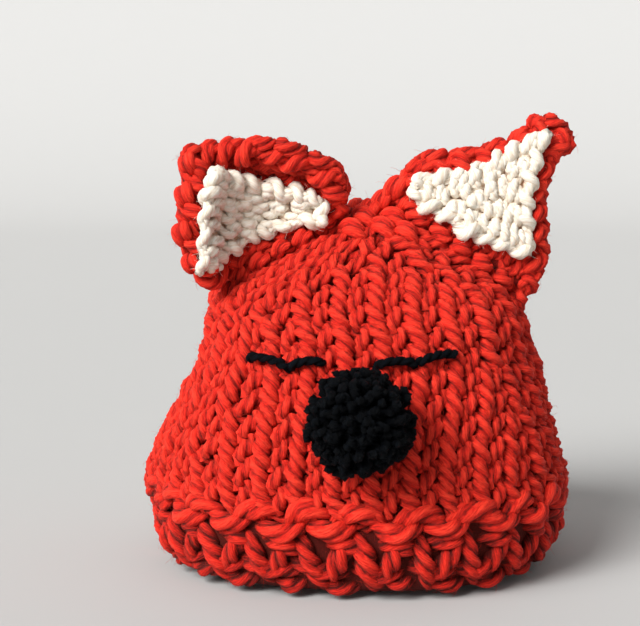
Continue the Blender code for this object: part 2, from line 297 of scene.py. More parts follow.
def wool_piece(mesh, painted_shades, uvs=None):
    """Makes a mesh a piece in the scene, smooth, with the map and attribute that wool reads."""
    strand = mesh.uv_layers.new(name="strand")
    if uvs is not None:
        strand.data.foreach_set("uv", uvs.astype(np.float32).ravel())
    groove = mesh.attributes.new("groove", "FLOAT", "POINT")
    groove.data.foreach_set("value", np.clip(painted_shades, 0, 1).astype(np.float32))
    mesh.polygons.foreach_set("use_smooth", np.ones(len(mesh.polygons), bool))
    obj = bpy.data.objects.new(mesh.name, mesh)
    bpy.context.collection.objects.link(obj)
    return obj


def yarn_mesh(name, strands, floor=None):
    """One mesh of many strands, with a UV map: around the strand, and along it in centimetres.

    Each strand is rings of points, n by k, joined by quads and closed by a face at each end.
    No point goes lower than floor.
    """
    STRANDS[name] = strands
    points, corners, sizes, uvs, painted_shades = [], [], [], [], []
    first = 0
    for rings, length, shade in strands:
        n, k = rings.shape[:2]
        points.append(rings.reshape(-1, 3))
        i, j = np.meshgrid(np.arange(n - 1), np.arange(k), indexing="ij")
        j2 = (j + 1) % k
        quad = np.stack([i * k + j, i * k + j2, (i + 1) * k + j2, (i + 1) * k + j], -1)
        around = np.stack([j, j + 1, j + 1, j], -1) / k
        along = np.stack([length[i], length[i], length[i + 1], length[i + 1]], -1) / 10
        corners += [first + quad.reshape(-1), first + np.arange(k)[::-1],
                    first + (n - 1) * k + np.arange(k)]
        sizes += [np.full((n - 1) * k, 4), [k, k]]
        uvs += [np.stack([around, along], -1).reshape(-1, 2), np.zeros((2 * k, 2))]
        painted_shades.append(shade.ravel())
        first += n * k
    points, corners, uvs = np.concatenate(points), np.concatenate(corners), np.concatenate(uvs)
    sizes, painted_shades = np.concatenate(sizes), np.concatenate(painted_shades)
    if floor is not None:
        points[:, 2] = np.maximum(points[:, 2], floor)
    mesh = bpy.data.meshes.new(name)
    mesh.vertices.add(len(points))
    mesh.vertices.foreach_set("co", (points * MM + HEM).astype(np.float32).ravel())
    mesh.loops.add(len(corners))
    mesh.loops.foreach_set("vertex_index", corners.astype(np.int32))
    mesh.polygons.add(len(sizes))
    mesh.polygons.foreach_set("loop_start", (sizes.cumsum() - sizes).astype(np.int32))
    mesh.update(calc_edges=True)
    print(f"{name}: {len(strands)} strands, {int((sizes - 2).sum())} triangles")
    return wool_piece(mesh, painted_shades, uvs)


# %% [markdown]
# ## Stockinette
#
# Each row of knitting is one yarn that runs from seam to seam in loops, and each loop
# is held by the row above, so that only its two legs show, as a V. The path of a row is
# a wave that leans over itself.

# %% The columns and rows of stitches
COLUMNS = 18  # columns of stitches across a panel
OUTER = 3  # columns beside each seam that keep to the seam
STITCH_WIDTH = 14.7
STITCH_HEIGHT = 9.2
# how far the columns' middle lies right of the panel's, at lengths up the cloth
MIDDLE_UP, MIDDLE_RIGHT = [60, 100, 145], [1.2, 3.2, -2.8]


def column_line(k, up):
    """How far across, in mm, the edge between two columns lies at a height along the cloth.

    The outer edges keep their distance from the seams and the inner ones from the
    middle, and the columns between end where the two groups meet.
    """
    half = np.interp(up, MERIDIAN, GIRTH) / 2
    k = np.asarray(k, float)
    wide = np.minimum(STITCH_WIDTH, half / OUTER)
    border = half - OUTER * wide
    middle = np.interp(up, MIDDLE_UP, MIDDLE_RIGHT)
    inner = np.clip(middle + (k - COLUMNS / 2) * STITCH_WIDTH, -border, border)
    left, right = -half + k * wide, half - (COLUMNS - k) * wide
    return np.where(k <= OUTER, left, np.where(k >= COLUMNS - OUTER, right, inner))


def kept_edges(up, least=0.55 * STITCH_WIDTH):
    """The edges between columns in one row, once too narrow columns are knitted together."""
    places = [float(column_line(k, up)) for k in range(COLUMNS + 1)]
    kept = [0]
    for k in range(1, COLUMNS):
        if places[k] - places[kept[-1]] >= least and places[-1] - places[k] >= least:
            kept.append(k)
    return np.array(kept + [COLUMNS])


def knit_row(edges, up, cloth, lines, wide=STITCH_WIDTH, height=STITCH_HEIGHT, radius=3.5,
             sway=0.245, rise=0.95, depth=2.15, out=-2.15, skew=0.0, samples=18,
             uneven_legs=0.055, messy=1.0, ply=THICK_PLY, both=False):
    """One row of loops on a cloth, which gives points for run, up and out in mm.

    With f the share of a stitch, across = f + sway * sin(4 pi f) + skew * climb,
    climb = -rise * height * cos(2 pi f) and out = -depth * cos(4 pi f). A negative
    depth turns the row to its purl side, where the bumps of the loops show. uneven_legs
    makes left legs thicker, straighter and further out than right ones, and messy is how
    much each loop differs from the next.
    """
    count = len(edges) - 1
    g = np.arange(count * samples + 1) / samples
    i = np.minimum(g.astype(int), count - 1)
    f = g - i
    # more points where the yarn bends most
    f = f + 0.45 * np.sin(4 * np.pi * f) / (4 * np.pi) * (1 if depth > 0 else -0.6)
    t = i + f
    left = np.sin(2 * np.pi * f)  # 1 on the left leg, -1 on the right one
    climb = -height * (rise + uneven(t * 2, 0.10 * messy)) * np.cos(2 * np.pi * f)
    climb = climb + uneven(t, 0.08 * height * messy)
    low, high = lines(edges[i], up + climb), lines(edges[i + 1], up + climb)
    lean = sway * (1 - 3.3 * uneven_legs * left) + uneven(t * 2 + 0.5, 0.03 * messy)
    run = low + (high - low) * (f + lean * np.sin(4 * np.pi * f)) + skew * climb
    run = run + uneven(t * 2, 0.03 * wide * messy)
    lift = out - depth * np.cos(4 * np.pi * f) + 7 * uneven_legs * left
    lift = lift + uneven(t * 2, 0.15 * radius * messy)
    path, normal = cloth(run, up + climb, lift)
    legs = 1 + uneven_legs * left + uneven(t * 2, 0.07 * messy)
    narrow = np.clip((high - low) / wide, 0.5, 1.2) ** 0.35
    # the part of a loop that shows is the plump one: the legs, or the bumps on the purl side
    shown = np.abs(left) if depth > 0 else np.abs(np.cos(2 * np.pi * f))
    thick = radius * legs * (0.74 + 0.26 * shown) * narrow
    return yarn(path, normal, thick, ply, sunk=out + abs(depth) - lift, both=both)


def stockinette(cloth):
    """All the rows of one panel, from the band to the gathered top."""
    start, top = up_at(BAND) + 4.0, MERIDIAN[-1] - 7.0  # middles of the first and last row
    rows = int(round((top - start) / STITCH_HEIGHT))
    return [knit_row(kept_edges(up), up, cloth, column_line)
            for up in np.linspace(start, top, rows + 1)]


front_stitches = yarn_mesh("front_stitches", stockinette(on_panel))
back_stitches = yarn_mesh("back_stitches", stockinette(on_back))

# %% [markdown]
# ## The garter band
#
# The hem is garter stitch: one ridge of interlocked bumps, with long loose legs and sunken
# bumps under it. Whole knitted rows come out too regular here, because this knitter pulled
# each stitch differently. So every part of a stitch that shows is a short strand of its
# own, a hump that comes out of the cloth and dives back in beside its neighbours.

# %% The garter band
BAND_STITCHES = 12
# one stitch of the band, part by part: where the part starts and ends, as share of a
# stitch and height, how far it bows up, how far out its middle stands, radius, pitch
BAND_PARTS = [
    ((-0.46, 31.8), (0.48, 33.8), 3.8, 0.6, 4.5, 4.5),  # upper arch of the ridge
    ((0.05, 32.6), (0.98, 33.4), -3.8, 0.4, 4.3, 4.5),  # lower bowl of the ridge
    ((-0.16, 29.0), (0.24, 3.5), 0.0, -0.8, 4.5, 3.0),  # long left leg
    ((0.72, 27.5), (0.26, 5.5), 0.0, -1.4, 4.2, 3.0),  # long right leg
    ((0.22, 23.5), (1.00, 20.0), 1.5, -1.2, 3.9, 4.0),  # sunken bumps between the legs
    ((-0.30, 15.0), (0.75, 11.0), -1.5, -1.8, 4.0, 4.0),
    ((0.30, 6.6), (0.98, 5.6), -1.2, -1.8, 3.8, 4.0),  # cast-on loops at the foot
]


def hump(cloth, start, end, bow, peak, radius, pitch=PITCH, dive=5.0):
    """A strand that comes out of the cloth and goes back in, between two (run, up) places.

    up = line between the ends + bow * sin(pi s), and out = peak - dive * (1 - sin(pi s)^0.6).
    """
    s = np.linspace(0, 1, 18)
    arch = np.sin(np.pi * s)
    run, up = (np.array(start)[:, None] + np.subtract(end, start)[:, None] * s)
    out = peak - dive * (1 - arch**0.6) + uneven(s * 2, 0.3)
    path, normal = cloth(run + uneven(s * 2, 0.8), up + bow * arch + uneven(s * 2, 0.5), out)
    thick = radius * (0.62 + 0.38 * arch) * (1 + uneven(s * 2, 0.05))
    return yarn(path, normal, thick, pitch=pitch, sunk=1.6 - out)


def garter_band(cloth):
    """Every stitch of the band as its parts, in thick yarn, as uneven as hand knitting."""
    strands = []
    for k in range(-BAND_STITCHES // 2, BAND_STITCHES // 2 + 1):
        for (a0, z0), (a1, z1), bow, peak, radius, pitch in BAND_PARTS:
            z0, z1 = z0 + RNG.uniform(-1.4, 1.4), z1 + RNG.uniform(-1.4, 1.4)
            half = np.interp([z0, z1], LEVELS, GIRTH) / 2
            across = (k + np.array([a0, a1]) + RNG.uniform(-0.11, 0.11, 2)) * 2 / BAND_STITCHES
            if np.abs(across).min() > 0.985:  # all of it would lie past the seam
                continue
            run = np.clip(across, -0.99, 0.99) * half
            up = up_at([z0, z1])
            beside = (np.abs(run).max() / half.max()) ** 6  # the yarn lies closer at the seams
            strands.append(hump(cloth, (run[0], up[0]), (run[1], up[1]), bow, peak - 2.5 * beside,
                                radius * RNG.uniform(0.9, 1.08), pitch))
    return strands


front_band = yarn_mesh("front_band", garter_band(on_panel), floor=0.1)
back_band = yarn_mesh("back_band", garter_band(on_back), floor=0.1)

# %% [markdown]
# ## The gathered top
#
# The last stitches are drawn together on a thread, and the gathering leaves fat lumps of
# yarn at the top. They lie in no row, so each is placed one by one, as a hump again.

# %% The gathered top
# the lumps of the gathering yarn on the front: where each starts and ends, as x and height
GATHERS = [
    ((5.0, 143.5), (12.5, 136.5)),
    ((9.0, 145.5), (17.5, 141.0)),
    ((14.5, 141.5), (21.5, 135.0)),
    ((-1.5, 146.0), (5.0, 141.0)),
    ((-7.5, 141.5), (1.0, 137.0)),
]


def gather_strands(cloth):
    """Short fat humps: each goes out of the knitting and back in, as out = 5 * sin(pi t) - 3."""
    strands = []
    for (x0, z0), (x1, z1) in GATHERS:
        t = np.linspace(0, 1, 20)
        arch = np.sin(np.pi * t)
        x, z = x0 + (x1 - x0) * t, z0 + (z1 - z0) * t
        path, normal = cloth(*cloth_at(x, z), 5.0 * arch - 3)
        strands.append(yarn(path, normal, 4.6 * (0.65 + 0.35 * arch), sunk=3 - 3 * arch))
    return strands


gathers = yarn_mesh("gathered_top", gather_strands(on_panel) + gather_strands(on_back))

# %% [markdown]
# ## The edges at the side seams
#
# Where the two panels meet, and round the slits in the side seams, each panel ends in a
# line of edge bumps, one for every two rows. The same row of loops makes them: its
# cloth is just the line along the panel's edge instead of the panel.

# %% The selvedges at the side seams
SELVEDGE_STITCH = 15.0
SELVEDGE_LEVELS = slice(3, 146)  # they end a little above the hem and below the top


def read_line(values, length, at):
    """The values along a line, read where the length along it is at."""
    return np.column_stack([np.interp(at, length, values[:, c]) for c in range(3)])


def along_curve(points, normals):
    """A cloth along a line: run goes along it, up across it, and out along the normals."""
    length = distances(points)
    across = np.cross(normals, unit(np.gradient(points, axis=0)))

    def cloth(run, up, out):
        normal = unit(read_line(normals, length, run))
        point = read_line(points, length, run) + read_line(across, length, run) * up[:, None]
        return point + normal * out[:, None], normal

    return cloth, length[-1]


def even(stitch, start=0.0):
    """Edges of stitches at equal distances, from a start."""
    return lambda k, up: start + np.asarray(k) * stitch


def selvedge(edge, back):
    """The edge stitches of a panel: a bump for every two rows, up the side seam."""
    points, normals = POINTS[SELVEDGE_LEVELS, edge], NORMALS[SELVEDGE_LEVELS, edge]
    if back:
        points, normals = points * (1, -1, 1), normals * (1, -1, 1)
    cloth, length = along_curve(points, normals)
    count = int(round(length / SELVEDGE_STITCH))
    return knit_row(np.arange(count + 1), 0.0, cloth, even(length / count), wide=SELVEDGE_STITCH,
                    height=2.0, radius=3.2, sway=0.1, rise=0.8, depth=-1.0, out=-1.6,
                    uneven_legs=0.0)


# the grid's second columns from both seams, as the first ones lie in the seams
seams = yarn_mesh("side_seams", [selvedge(edge, back) for edge in (1, -2)
                                 for back in (False, True)], floor=0.1)

# %% [markdown]
# ## The cloth behind the stitches
#
# Real knitting closes its own gaps, because every loop passes behind the next. Here the
# back halves of the loops are left out, and a thin sheet behind them closes the gaps. Its
# outer face is painted in the darkest shade, as the gaps lie in shadow. It is also what
# shows inside the cosy, so its inner face has the bumps of the purl side, painted only a
# little darker.

# %% The ground of the cloth behind the stitches
CLOTH = 2.0  # thickness of the thin sheet
BEHIND = 3.0  # how far behind the panel's surface its outer face lies


def sheet_mesh(name, outer, inner, painted_shades=(1.0, 1.0)):
    """A thin closed sheet between two grids of points, with a strip along each edge.

    Its outer and its inner face get the painted shade given for each, 1 being the darkest.
    """
    n, m = outer.shape[:2]
    points = np.concatenate([outer.reshape(-1, 3), inner.reshape(-1, 3)])
    i, j = np.meshgrid(np.arange(n - 1), np.arange(m - 1), indexing="ij")
    quad = np.stack([i * m + j, i * m + j + 1, (i + 1) * m + j + 1, (i + 1) * m + j], -1)
    quad = quad.reshape(-1, 4)
    rim = np.concatenate([np.arange(m), np.arange(1, n) * m + m - 1,
                          (n - 1) * m + np.arange(m - 1)[::-1], np.arange(1, n - 1)[::-1] * m])
    ahead = np.roll(rim, -1)
    quads = np.concatenate([quad, quad[:, ::-1] + n * m,
                            np.stack([rim + n * m, ahead + n * m, ahead, rim], -1)])
    mesh = bpy.data.meshes.new(name)
    mesh.from_pydata((points * MM + HEM).tolist(), [], quads.tolist())
    print(f"{name}: {2 * len(quads)} triangles")
    return wool_piece(mesh, np.repeat(painted_shades, n * m))


def ground(name, back):
    """The panel's own surface, set back behind the stitches, to close the gaps between them.

    Its inner face, which shows through the slits, has the bumps of the purl side: a wave
    across each row, with cos(2 pi up / row height), taller in the middle of each column.
    """
    levels = np.concatenate([np.linspace(2.0, 140, 61), np.linspace(142, 149, 5)])
    places = np.linspace(-0.985, 0.985, 91)  # just short of the seams
    row = np.broadcast_to(levels[:, None], (len(levels), len(places)))
    column = np.broadcast_to((places + 1) / 2 * (len(PLACES) - 1), row.shape)
    up = up_at(levels)[:, None]
    run = places * np.interp(levels, LEVELS, GIRTH)[:, None] / 2
    bump = 1 + np.cos(2 * np.pi * up / STITCH_HEIGHT)
    bump = bump * (1 + 0.6 * np.cos(2 * np.pi * run / STITCH_WIDTH))
    faces = []
    for out in (np.full(row.shape, -BEHIND), -BEHIND - CLOTH - 0.5 * bump):
        face = read_grid(POINTS, row, column) + read_grid(NORMALS, row, column) * out[..., None]
        face[..., 1] = np.minimum(face[..., 1], -0.2)  # each panel stays on its side of the seam
        faces.append(face[:, ::-1] * (1, -1, 1) if back else face)
    # painted shade: the darkest on the outer face, in the gaps between the stitches, a little on
    # the inner face
    return sheet_mesh(name, *faces, painted_shades=(1.0, 0.15))


front_cloth = ground("front_cloth", False)
back_cloth = ground("back_cloth", True)

# %% [markdown]
# ## The ears
#
# Each ear is a garter triangle, cupped towards the front, with a smaller cream piece
# sewn on its front. Its surface is spanned between four lines: the seam on the
# shoulder, the two sides and the top edge.

# %% The surface of an ear
# base: the ends of its seam on the plan, from which it bows forwards by bow
# outline: from the inner end over the top to the outer end; cup: how far it is hollowed
# corners: shares of the outline at which its inner side ends and its outer side begins
# lumps: short fat turns of yarn on its rim, from where to where
EAR_LEFT = dict(
    base=[(-6.0, -14.0), (-57.0, -13.0)],
    outline=[
        (-5.5, -24.0, 159.0), (-12.0, -28.0, 167.0), (-34.0, -31.0, 176.5),
        (-55.5, -28.0, 177.0), (-71.0, -30.0, 172.5), (-71.5, -33.0, 158.0),
        (-73.0, -36.0, 143.0), (-70.5, -33.0, 130.0), (-66.5, -25.0, 120.0),
    ],
    bow=8.0, cup=21.0, corners=(0.2, 0.5),
    lumps=[[(-68.0, -30.5, 171.5), (-70.5, -30.5, 162.5)],
           [(-69.0, -33.5, 159.5), (-71.5, -34.0, 150.5)],
           [(-70.5, -36.5, 144.5), (-72.5, -35.5, 135.0)],
           [(-67.5, -34.5, 132.0), (-69.0, -31.5, 124.0)]],
)
EAR_RIGHT = dict(
    base=[(15.0, -12.0), (64.0, -16.0)],
    outline=[
        (15.5, -14.0, 160.0), (25.0, -15.0, 169.5), (45.0, -16.0, 173.0),
        (62.5, -15.0, 180.5), (72.0, -14.0, 187.0), (88.5, -14.0, 177.0),
        (81.0, -16.0, 166.0), (75.5, -18.0, 151.0), (77.0, -18.0, 134.0), (74.5, -17.0, 119.0),
    ],
    bow=9.0, cup=6.0, corners=(0.18, 0.5),
    lumps=[[(9.0, -13.0, 152.0), (21.0, -15.0, 159.5)],
           [(4.0, -11.0, 146.5), (14.0, -13.0, 154.0)],
           [(0.5, -13.0, 143.5), (8.5, -12.0, 149.5)]],
)


def shoulder(x, y, out=SEAT):
    """Points on top of the cosy over places x, y on the plan, pushed out along the normals.

    The height is where |x / width|^CORNER + |y / depth|^CORNER reaches 1.
    """
    levels = smooth_rows(PROFILE, np.linspace(60.0, HEIGHT, 361))

    def height(x_, y_):
        share = np.abs((x_[:, None] - levels[:, 3]) / levels[:, 1]) ** CORNER
        share = share + np.abs(y_[:, None] / (levels[:, 2] + SEAM)) ** CORNER
        above = np.clip((share >= 1).argmax(1), 1, None)
        here = np.arange(len(x_))
        low, high = share[here, above - 1], share[here, above]
        t = np.clip((1 - low) / np.maximum(high - low, 1e-6), 0, 1)
        return levels[above - 1, 0] + t * (levels[above, 0] - levels[above - 1, 0])

    slope_x = height(x + 0.5, y) - height(x - 0.5, y)
    slope_y = height(x, y + 0.5) - height(x, y - 0.5)
    normal = unit(np.column_stack([-slope_x, -slope_y, np.ones_like(x)]))
    return np.column_stack([x, y, height(x, y)]) + normal * out


def ear_grid(ear, rows=31, columns=41):
    """An ear's middle surface, from its seam to its top edge, and the line of its rim.

    Between four edge lines, a point is the mean of the two across and the two along it,
    less the corners counted twice, and it is hollowed by cup * sin(pi a) * sin(pi b).
    """
    inner_end, outer_end = np.array(ear["base"])
    a, b = np.linspace(0, 1, columns), np.linspace(0, 1, rows)
    plan = inner_end + (outer_end - inner_end) * a[:, None]
    base = shoulder(plan[:, 0], plan[:, 1] - ear["bow"] * np.sin(np.pi * a))
    outline = np.array([base[0], *ear["outline"], base[-1]])
    outline = np.column_stack([np.linspace(0, 1, len(outline)), outline])

    def rim(p):
        return smooth_rows(outline, p)[:, 1:]

    first, last = ear["corners"]
    left, right, top = rim(first * b), rim(1 - (1 - last) * b), rim(first + (last - first) * a)
    a_, b_ = a[None, :, None], b[:, None, None]
    flat = ((1 - b_) * base[None] + b_ * top[None] + (1 - a_) * left[:, None] + a_ * right[:, None]
            - (1 - a_) * (1 - b_) * base[0] - a_ * (1 - b_) * base[-1]
            - (1 - a_) * b_ * top[0] - a_ * b_ * top[-1])
    flat[..., 1] += (ear["cup"] * np.sin(np.pi * a_) * np.sin(np.pi * b_) ** 0.8)[..., 0]
    normals = normals_of(flat)
    if normals[rows // 2, columns // 2, 1] > 0:
        normals = -normals
    return flat, normals, rim(np.linspace(0.02, 0.98, 200))


def read_share(grid, a, b):
    """The grid's value at share a of the way across it and share b of the way up."""
    return read_grid(grid, b * (grid.shape[0] - 1), a * (grid.shape[1] - 1))


def on_grid(points, normals, wide, high, turned=False):
    """A cloth over a grid, wide mm across and high mm up. Turned, its rows run up the grid."""
    def cloth(run, up, out):
        a, b = (up / wide, run / high) if turned else (run / wide, up / high)
        normal = unit(read_share(normals, a, b))
        return read_share(points, a, b) + normal * np.asarray(out)[..., None], normal

    return cloth


def edge_roll(rim, facing, inset, radius, wrap, spacing, ply=THICK_PLY):
    """A yarn that winds round an edge, as a knitted edge's loops do, and one along its middle.

    path = rim + wrap * (cos w * facing + sin w * across), w growing by one turn each
    spacing, where the rim has moved inset mm towards the middle of the piece.
    """
    tangent = unit(np.gradient(rim, axis=0))
    facing = unit(facing - tangent * (facing * tangent).sum(1)[:, None])
    across = np.cross(facing, tangent)
    across *= np.sign(((rim.mean(0) - rim) * across).sum())
    line = rim + across * inset
    length = distances(line)
    at = np.linspace(0, length[-1], int(length[-1] / spacing * 20))  # 20 rings for each turn
    line, facing, across = (read_line(values, length, at) for values in (line, facing, across))
    w = 2 * np.pi * (at / spacing + uneven(at, 0.24, spacing))
    reach = wrap * (1 + uneven(at, 0.5, spacing))
    path = line + reach[:, None] * (np.cos(w)[:, None] * facing + np.sin(w)[:, None] * across)
    thick = radius * (1 + uneven(at, 0.2, 0.7 * spacing))
    return [yarn(path, facing, thick, ply), yarn(line[::4], facing[::4], radius * 0.8, ply)]


EAR_WIDE, EAR_HIGH = 62.0, 50.0  # the size over which an ear's stitches are spread
EAR_STITCHES, EAR_FIRST, EAR_ROW = 6, 2.6, 5.3  # stitches in a row, first row, row height
LUMP = 4.7  # radius of a lump on the rim
LUMP_FACING = (0.0, -0.8, 0.6)  # the way its outer side faces


def ear_strands(ear):
    """The rows of a red ear, purl and knit in turn, the lumps and the roll along its rim."""
    points, normals, rim = ear_grid(ear)
    cloth = on_grid(points, normals, EAR_WIDE, EAR_HIGH)
    strands = []
    for number, up in enumerate(np.arange(EAR_FIRST, EAR_HIGH - 4, EAR_ROW)):
        strands.append(knit_row(np.arange(EAR_STITCHES + 1), up, cloth,
                                even(EAR_WIDE / EAR_STITCHES), wide=10.0, height=5.6,
                                radius=3.3, sway=0.12, rise=0.75, depth=(-1.5, 1.2)[number % 2],
                                out=0.0, skew=0.25, uneven_legs=0.0, messy=1.5, both=True))
    s = np.linspace(0, 1, 16)
    arch = np.sin(np.pi * s)
    for start, end in ear["lumps"]:
        path = np.array(start) + np.subtract(end, start) * s[:, None] + [0, -2, 2] * arch[:, None]
        outward = np.broadcast_to(LUMP_FACING, path.shape)
        strands.append(yarn(path, outward, LUMP * (0.6 + 0.4 * arch)))
    facing = normals[15:, 5:-5].mean((0, 1))  # of the ear's upper half, without its sides
    return strands + edge_roll(rim, facing, inset=6.0, radius=3.4, wrap=2.7, spacing=9.8)


def ear_ground(name, ear):
    """The cloth of an ear between its stitches: two faces of its middle surface, 1.5 mm apart."""
    points, normals, _ = ear_grid(ear)
    inside = (slice(1, -3), slice(3, -3))  # short of its edges, which the roll covers
    faces = [(points + normals * out)[inside] for out in (0.75, -0.75)]
    # both faces get a fairly dark painted shade, for the shade between the stitches
    return sheet_mesh(name, *faces, painted_shades=(0.7, 0.7))


ear_left = yarn_mesh("ear_left_yarn", ear_strands(EAR_LEFT))
ear_right = yarn_mesh("ear_right_yarn", ear_strands(EAR_RIGHT))
ear_left_cloth = ear_ground("ear_left_cloth", EAR_LEFT)
ear_right_cloth = ear_ground("ear_right_cloth", EAR_RIGHT)

# %% [markdown]
# ## The cream inner ears
#
# Two small garter pieces in a thinner, smoother yarn are sewn on the fronts of the ears.
# The left one is cut off slantwise by the shoulder, so its rows get shorter downwards. The
# right one is knitted the other way, so its rows run upwards and get more stitches.

# %% The cream inner ears
# corners of a piece, as x and height: lower inner, lower outer, upper outer, upper inner
# bow: how far its lower, upper and outer edges bow out, as the last one does if negative
# forward: how far its outer edge stands forward; hollow: how far its middle lies back
# cut: share of its inner side that a slanting lower edge cuts off
INNER_LEFT = dict(
    corners=[(-14.5, 119.5), (-70.5, 129.0), (-66.0, 165.0), (-14.5, 155.0)],
    bow=(0.0, 1.0, -3.0), forward=5.5, hollow=1.5, cut=0.64,
)
INNER_RIGHT = dict(
    corners=[(22.5, 151.5), (68.0, 131.0), (76.0, 179.5), (22.0, 160.5)],
    bow=(5.0, -3.5, -3.5), forward=0.0, hollow=0.0, cut=0.0,
)


def inner_grid(ear, inner, out=6.5, rows=31, columns=41):
    """A piece that lies on the front of an ear: four corners in x and height, read off the ear.

    It lies out mm before the ear's middle surface, more at its outer edge by forward * a^4,
    and less in its middle by hollow * sin(pi a) * sin(pi b). Its depth at a place is the
    mean of the ear's points, each weighed by 1 / (distance^2 + 4)^2.
    """
    a, b = np.meshgrid(np.linspace(0, 1, columns), np.linspace(0, 1, rows))
    c, bow = np.array(inner["corners"]), inner["bow"]
    place = ((1 - a) * (1 - b))[..., None] * c[0] + (a * (1 - b))[..., None] * c[1] \
        + (a * b)[..., None] * c[2] + ((1 - a) * b)[..., None] * c[3]
    place[..., 1] += np.sin(np.pi * a) * (bow[1] * b - bow[0] * (1 - b))
    place[..., 0] += np.sin(np.pi * b) * bow[2] * a
    out = out + inner["forward"] * a**4 - inner["hollow"] * np.sin(np.pi * a) * np.sin(np.pi * b)
    flat, known = place.reshape(-1, 2), ear_grid(ear)[0].reshape(-1, 3)
    near = ((flat[:, None] - known[None][..., [0, 2]]) ** 2).sum(-1)
    weight = 1 / (near + 4.0) ** 2
    weight /= weight.sum(1)[:, None]
    y = (weight @ known[:, 1]).reshape(rows, columns)
    lying = np.dstack([place[..., 0], y, place[..., 1]])
    facing = normals_of(lying)
    facing = facing if facing[rows // 2, columns // 2, 1] < 0 else -facing
    return lying + facing * out[..., None], facing


CREAM_STITCH, CREAM_ROW, CREAM_RADIUS = 9.0, 5.2, 2.35


def inner_strands(ear, inner, turned=False):
    """The rows of a cream piece in thinner yarn, and the loops along its edge.

    Rows lie across the piece and end at its lower edge, b = cut * (1 - a), or turned, they
    run up it, with as many stitches as each one's length holds.
    """
    points, normals = inner_grid(ear, inner)
    cut = inner["cut"]
    wide = np.linalg.norm(np.diff(points[-1], axis=0), axis=1).sum()
    upward = np.linalg.norm(np.diff(points, axis=0), axis=2).sum(0)
    high = upward[-1]
    cloth = on_grid(points, normals, wide, high, turned)
    last = (wide if turned else high) - 1.2
    strands = []
    for number, up in enumerate(np.arange(CREAM_ROW / 2, last, CREAM_ROW)):
        if turned:
            share = np.linspace(0, 1, len(upward))
            start, end, length = 0.0, high, np.interp(up / wide, share, upward)
        else:
            start, end = wide * np.clip(1 - (up - 3.0) / high / max(cut, 0.01), 0.0, 0.88), wide
            length = end - start
        count = max(1, int(round(length / CREAM_STITCH)))
        stitch = (end - start) / count
        strands.append(knit_row(np.arange(count + 1), up, cloth, even(stitch, start), wide=stitch,
                                height=CREAM_ROW, radius=CREAM_RADIUS, sway=0.16, rise=0.85,
                                depth=(-1.5, -1.2)[number % 2], out=0.0, skew=0.3,
                                uneven_legs=0.0, messy=2.0, ply=THIN_PLY))
    # once round the piece: along its lower edge, up its outer side, back and down again
    t = np.linspace(0, 1, 30)[:-1]
    a = np.concatenate([t, 1 + 0 * t, 1 - t, 0 * t])
    b = np.concatenate([cut * (1 - t), t, 1 + 0 * t, 1 - (1 - cut) * t])
    edge = read_share(points, a, b)
    return strands + edge_roll(edge, normals.mean((0, 1)), inset=0.5, radius=CREAM_RADIUS,
                               wrap=1.8, spacing=8.4, ply=THIN_PLY)


def inner_ground(name, ear, inner):
    """The cream cloth between the stitches: the piece's grid, above its slanting lower edge."""
    points, normals = inner_grid(ear, inner)
    cut = inner["cut"]
    a, b = np.meshgrid(np.linspace(0.03, 0.97, 31), np.linspace(0.03, 0.97, 25))
    b = cut * (1 - a) + (1 - cut * (1 - a)) * b
    point, normal = read_share(points, a, b), read_share(normals, a, b)
    # the cream cloth gets the darkest painted shade on both faces, for the shade between the
    # stitches
    return sheet_mesh(name, point - 0.2 * normal, point - 1.4 * normal), point


inner_left = yarn_mesh("inner_ear_left_yarn", inner_strands(EAR_LEFT, INNER_LEFT))
inner_right = yarn_mesh("inner_ear_right_yarn", inner_strands(EAR_RIGHT, INNER_RIGHT, turned=True))
inner_left_cloth, inner_left_grid = inner_ground("inner_ear_left_cloth", EAR_LEFT, INNER_LEFT)
inner_right_cloth, inner_right_grid = inner_ground("inner_ear_right_cloth", EAR_RIGHT, INNER_RIGHT)

# %% [markdown]
# ## The eyes
#
# Each closed eye is two back stitches of black yarn: it lies on top of the ropes of the
# knitting and goes down through the cloth at both ends. Two plies and a short turn make
# the twist easy to see, as in the real sewing yarn.

# %% The eyes
# ends of the back stitches, as x and height on the face
EYES = {
    "eye_left": [(-43.4, 91.8), (-28.0, 89.2), (-15.0, 91.6)],
    "eye_right": [(4.9, 90.6), (20.2, 91.2), (35.3, 94.3)],
}
EYE_PLY = np.tile([0.58, 0.90, 1.0, 1.0, 0.90], 2)  # two plump plies
EYE_RADIUS = 1.95


def eye_strands(ends):
    """Back stitches: each lies on the knitting between two places where it goes through.

    It lies straight between them but for a rise of 1.2 * sin(pi t), 4.6 mm over the
    panel's surface, less 5 * |2 t - 1|^10 where it dives into the cloth at its ends.
    """
    strands = []
    for (x0, z0), (x1, z1) in zip(ends, ends[1:]):
        t = np.linspace(-0.06, 1.06, 28)
        x, z = x0 + (x1 - x0) * t, z0 + (z1 - z0) * t + 1.2 * np.sin(np.pi * t)
        out = 4.6 - 5.0 * np.abs(2 * t - 1) ** 10
        path, normal = on_panel(*cloth_at(x, z), out)
        strands.append(yarn(path, normal, EYE_RADIUS, EYE_PLY, pitch=2.1, blunt=0.6))
    return strands


eyes = {name: yarn_mesh(f"{name}_yarn", eye_strands(ends)) for name, ends in EYES.items()}

# %% [markdown]
# ## The nose
#
# A pompom is hundreds of cut yarn ends, tied in the middle. A ball with a bump would lose
# its ragged outline, so each end is a short strand of its own, blunt and bent over. They
# are spread evenly with the golden angle and then disturbed a little.

